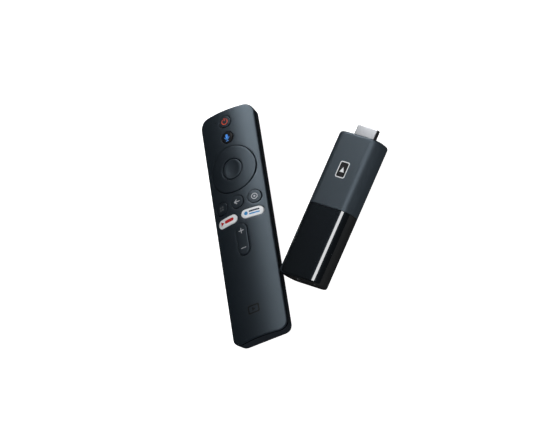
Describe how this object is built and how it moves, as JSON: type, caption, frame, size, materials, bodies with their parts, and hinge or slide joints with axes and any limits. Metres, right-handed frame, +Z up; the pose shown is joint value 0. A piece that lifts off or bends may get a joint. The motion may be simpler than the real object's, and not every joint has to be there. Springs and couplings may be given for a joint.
{
  "type": "streaming media player",
  "caption": "HDMI streaming stick with a matte and a glossy half, lying beside its slim crowned remote with direction ring, round keys, shortcut keys and volume rocker.",
  "frame": {"origin": "centre of the whole set's footprint, on the surface it lies on", "axes": "+Z up, out of the surface; +Y along the remote, towards its infrared window; +X from the remote towards the stick"},
  "size_m": [0.1076, 0.144, 0.0162],
  "materials": {
    "matte_sleeve": "fine matte slate-grey moulded plastic",
    "glossy_sleeve": "glossy black moulded plastic",
    "hdmi_shell": "nickel-plated stamped steel",
    "hdmi_tongue": "black insulator",
    "hdmi_contacts": "gold-plated contacts",
    "inner_frame": "black moulded tray",
    "stick_pcb": "green solder mask",
    "soc_chip": "black chip package",
    "memory_chip": "black chip package",
    "flash_chip": "black chip package",
    "wifi_chip": "black chip package",
    "shield_can": "tinned steel sheet",
    "thermal_pad": "soft silicone pad",
    "heat_spreader": "plain aluminium plate",
    "usb_shell": "nickel-plated stamped steel",
    "usb_tongue": "black insulator",
    "wifi_antenna": "stamped antenna strip",
    "status_led": "white light-emitting diode",
    "light_pipe": "clear light guide",
    "remote_top_cover": "fine matte charcoal moulded plastic",
    "remote_bottom_shell": "fine matte black moulded plastic",
    "remote_pcb": "green solder mask",
    "dome_sheet": "metal snap domes on film",
    "keypad_membrane": "soft silicone pad",
    "bluetooth_chip": "black chip package",
    "crystal": "metal can",
    "microphone": "metal can",
    "ir_led": "dark tinted lens",
    "ir_window": "dark infrared-clear window",
    "battery_left": "printed cell jacket",
    "battery_right": "printed cell jacket",
    "battery_spring_left": "nickel-plated wire",
    "battery_spring_right": "nickel-plated wire",
    "battery_bridge_plate": "nickel-plated strip",
    "battery_contact_left": "nickel-plated strip",
    "battery_contact_right": "nickel-plated strip",
    "battery_door": "fine matte black moulded plastic",
    "dpad_pivot": "moulded rocker frame",
    "dpad_ring": "matte black moulded plastic",
    "volume_rocker": "matte black moulded plastic",
    "power_key": "matte black moulded plastic",
    "assistant_key": "matte black moulded plastic",
    "ok_key": "matte black moulded plastic",
    "apps_key": "matte black moulded plastic",
    "back_key": "matte black moulded plastic",
    "home_key": "matte black moulded plastic",
    "app_key_left": "white moulded plastic",
    "app_key_right": "white moulded plastic"
  },
  "bodies": {
    "stick": {"matte_sleeve": "matte_sleeve", "glossy_sleeve": "glossy_sleeve", "hdmi_shell": "hdmi_shell", "hdmi_tongue": "hdmi_tongue", "hdmi_contacts": "hdmi_contacts", "inner_frame": "inner_frame", "stick_pcb": "stick_pcb", "soc_chip": "soc_chip", "memory_chip": "memory_chip", "flash_chip": "flash_chip", "wifi_chip": "wifi_chip", "shield_can": "shield_can", "thermal_pad": "thermal_pad", "heat_spreader": "heat_spreader", "usb_shell": "usb_shell", "usb_tongue": "usb_tongue", "wifi_antenna": "wifi_antenna", "status_led": "status_led", "light_pipe": "light_pipe"},
    "remote": {"remote_top_cover": "remote_top_cover", "remote_bottom_shell": "remote_bottom_shell", "remote_pcb": "remote_pcb", "dome_sheet": "dome_sheet", "keypad_membrane": "keypad_membrane", "bluetooth_chip": "bluetooth_chip", "crystal": "crystal", "microphone": "microphone", "ir_led": "ir_led", "ir_window": "ir_window", "battery_left": "battery_left", "battery_right": "battery_right", "battery_spring_left": "battery_spring_left", "battery_spring_right": "battery_spring_right", "battery_bridge_plate": "battery_bridge_plate", "battery_contact_left": "battery_contact_left", "battery_contact_right": "battery_contact_right"},
    "battery_cover": {"battery_door": "battery_door"},
    "dpad_frame": {"dpad_pivot": "dpad_pivot"},
    "dpad": {"dpad_ring": "dpad_ring"},
    "volume": {"volume_rocker": "volume_rocker"},
    "power_button": {"power_key": "power_key"},
    "assistant_button": {"assistant_key": "assistant_key"},
    "ok_button": {"ok_key": "ok_key"},
    "apps_button": {"apps_key": "apps_key"},
    "back_button": {"back_key": "back_key"},
    "home_button": {"home_key": "home_key"},
    "app_left_button": {"app_key_left": "app_key_left"},
    "app_right_button": {"app_key_right": "app_key_right"}
  },
  "joints": [
    {"name": "remote_lift", "type": "slide", "parent": "stick", "child": "remote", "axis": [0, 0, 1], "range_m": [0, 0.12]},
    {"name": "battery_door_slide", "type": "slide", "parent": "remote", "child": "battery_cover", "axis": [0, -1, 0], "range_m": [0, 0.046]},
    {"name": "power_key_press", "type": "slide", "parent": "remote", "child": "power_button", "axis": [0, 0, -1], "range_m": [0, 0.0006], "stiffness_N_per_m": 800},
    {"name": "assistant_key_press", "type": "slide", "parent": "remote", "child": "assistant_button", "axis": [0, 0, -1], "range_m": [0, 0.0006], "stiffness_N_per_m": 800},
    {"name": "ok_key_press", "type": "slide", "parent": "remote", "child": "ok_button", "axis": [0, 0, -1], "range_m": [0, 0.0006], "stiffness_N_per_m": 800},
    {"name": "apps_key_press", "type": "slide", "parent": "remote", "child": "apps_button", "axis": [0, 0, -1], "range_m": [0, 0.0006], "stiffness_N_per_m": 800},
    {"name": "back_key_press", "type": "slide", "parent": "remote", "child": "back_button", "axis": [0, 0, -1], "range_m": [0, 0.0006], "stiffness_N_per_m": 800},
    {"name": "home_key_press", "type": "slide", "parent": "remote", "child": "home_button", "axis": [0, 0, -1], "range_m": [0, 0.0006], "stiffness_N_per_m": 800},
    {"name": "app_key_left_press", "type": "slide", "parent": "remote", "child": "app_left_button", "axis": [0, 0, -1], "range_m": [0, 0.0006], "stiffness_N_per_m": 800},
    {"name": "app_key_right_press", "type": "slide", "parent": "remote", "child": "app_right_button", "axis": [0, 0, -1], "range_m": [0, 0.0006], "stiffness_N_per_m": 800},
    {"name": "dpad_tilt_up_down", "type": "hinge", "parent": "remote", "child": "dpad_frame", "pos_m": [-0.0365, 0.0337, 0.0112], "axis": [1, 0, 0], "range_deg": [-2, 2], "stiffness_Nm_per_rad": 0.7},
    {"name": "dpad_tilt_left_right", "type": "hinge", "parent": "dpad_frame", "child": "dpad", "pos_m": [-0.0365, 0.0337, 0.0112], "axis": [0, 1, 0], "range_deg": [-2, 2], "stiffness_Nm_per_rad": 0.7},
    {"name": "volume_rock", "type": "hinge", "parent": "remote", "child": "volume", "pos_m": [-0.0365, -0.0114, 0.0119], "axis": [1, 0, 0], "range_deg": [-2.5, 2.5], "stiffness_Nm_per_rad": 0.4}
  ]
}
